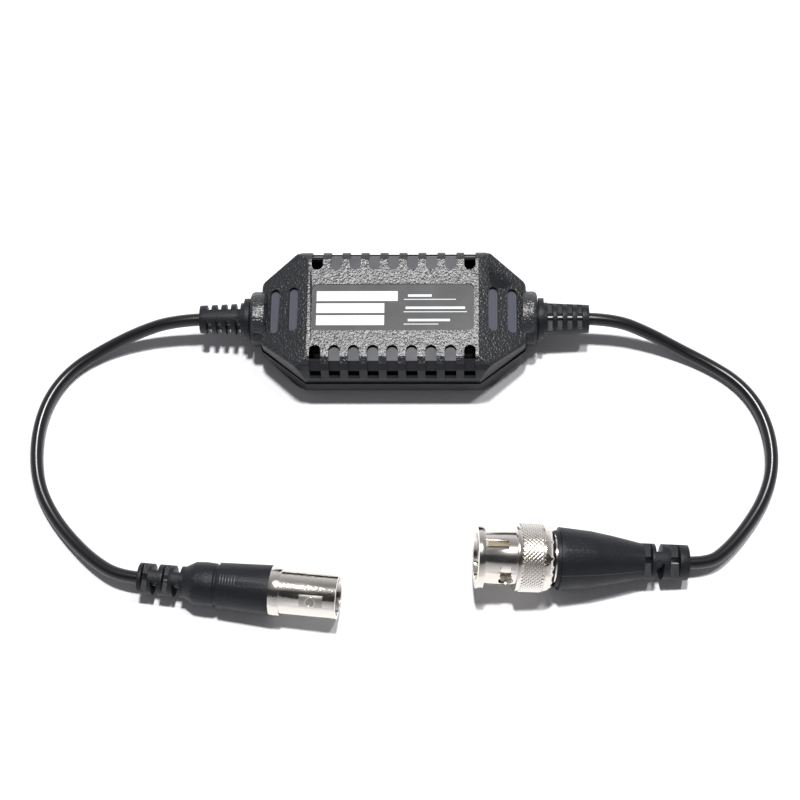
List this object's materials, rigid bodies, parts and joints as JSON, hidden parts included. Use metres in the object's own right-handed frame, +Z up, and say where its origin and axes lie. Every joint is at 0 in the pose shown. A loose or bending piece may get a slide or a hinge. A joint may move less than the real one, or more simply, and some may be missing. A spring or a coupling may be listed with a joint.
{
  "type": "ground loop isolator",
  "caption": "Inline ground loop isolator for coaxial lines: a vented moulded housing with captive leads that end in a BNC jack and a BNC plug with a turning coupling nut.",
  "frame": {"origin": "on the floor under the middle of the housing", "axes": "+X along the housing from the jack's lead to the plug's lead, +Y to the back (both connectors lie at -Y), +Z up"},
  "size_m": [0.1645, 0.0831, 0.0155],
  "materials": {
    "housing_plastic": "fine satin moulded plastic, black",
    "label_film": "glossy film, near black",
    "moulded_rubber": "soft satin moulded rubber, black",
    "cable_jacket": "smooth satin cable jacket, black",
    "copper_wire": "bare and enamelled copper",
    "sleeve_film": "glossy shrink film, black",
    "board_laminate": "green laminate",
    "ferrite": "coated ferrite, dark grey",
    "capacitor_coat": "dipped coat, ochre",
    "nickel_plate": "bright nickel plate on brass",
    "white_dielectric": "white dielectric plastic",
    "gilt_contact": "gilt contact metal",
    "gasket_rubber": "soft ring gasket, dull red brown",
    "spring_steel": "spring steel"
  },
  "bodies": {
    "isolator": {"upper_shell": "housing_plastic", "lower_shell": "housing_plastic", "label_plate": "label_film", "left_strain_relief": "moulded_rubber", "right_strain_relief": "moulded_rubber", "left_cable_end": "cable_jacket", "right_cable_end": "cable_jacket", "left_core_wire": "copper_wire", "right_core_wire": "copper_wire", "left_braid_tail": "copper_wire", "right_braid_tail": "copper_wire", "shrink_sleeve": "sleeve_film", "circuit_board": "board_laminate", "toroid_core": "ferrite", "primary_winding": "copper_wire", "secondary_winding": "copper_wire", "capacitor": "capacitor_coat", "left_cable": "cable_jacket", "right_cable": "cable_jacket", "jack_boot": "moulded_rubber", "jack_shell": "nickel_plate", "jack_insulator": "white_dielectric", "jack_contact": "gilt_contact", "jack_ferrule": "nickel_plate", "jack_cable_end": "cable_jacket", "plug_boot": "moulded_rubber", "plug_body": "nickel_plate", "plug_insulator": "white_dielectric", "plug_pin": "gilt_contact", "plug_gasket": "gasket_rubber", "plug_ferrule": "nickel_plate", "plug_cable_end": "cable_jacket", "spring_washer": "spring_steel"},
    "nut_carrier": {"thrust_washer": "spring_steel"},
    "nut": {"coupling_nut": "nickel_plate"}
  },
  "joints": [
    {"name": "nut_slide", "type": "slide", "parent": "isolator", "child": "nut_carrier", "axis": [-0.9936, -0.0009, 0.1125], "range_m": [0, 0.0007], "stiffness_N_per_m": 3000, "springref_m": -0.0004},
    {"name": "coupling_turn", "type": "hinge", "parent": "nut_carrier", "child": "nut", "pos_m": [0.0181, -0.0546, 0.00879], "axis": [0.9936, 0.0009, -0.1125], "continuous": true}
  ]
}
